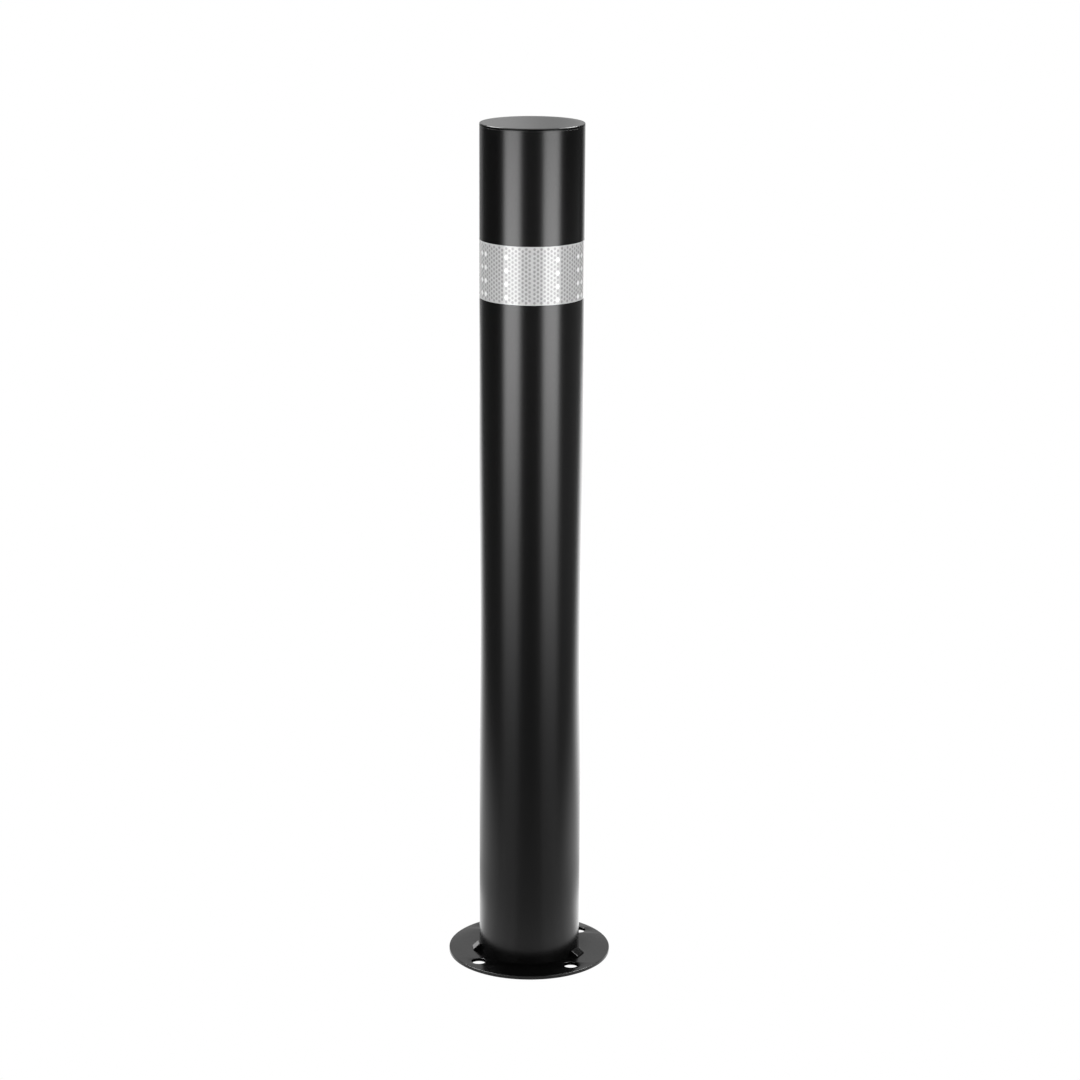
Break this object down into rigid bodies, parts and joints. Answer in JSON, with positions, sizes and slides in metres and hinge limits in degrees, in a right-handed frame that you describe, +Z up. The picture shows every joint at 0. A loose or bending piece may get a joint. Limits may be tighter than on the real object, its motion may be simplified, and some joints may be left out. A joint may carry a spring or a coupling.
{
  "type": "bollard post",
  "caption": "Surface-mounted steel bollard post: black powder-coated round tube with a flat top, a reflective band and a round bolt-down base plate",
  "frame": {"origin": "centre of the base plate's underside, on the ground", "axes": "+Z up along the post; the front of the post faces -Y; the anchor holes lie at 45 degrees to X and Y"},
  "size_m": [0.145, 0.145, 0.75],
  "materials": {
    "post_coat": "satin black powder coat, fine orange peel",
    "plate_coat": "semi-gloss black powder coat",
    "cap_coat": "satin black powder coat",
    "weld_coat": "dull black powder coat over ground weld metal",
    "reflective_tape": "silver-white prismatic reflective film with a fine honeycomb"
  },
  "bodies": {
    "root": {"base_plate": "plate_coat", "post_tube": "post_coat", "top_cap": "cap_coat", "cap_weld": "weld_coat", "foot_weld": "weld_coat", "foot_gusset_left": "plate_coat", "foot_gusset_right": "plate_coat", "reflective_band": "reflective_tape"}
  },
  "joints": []
}
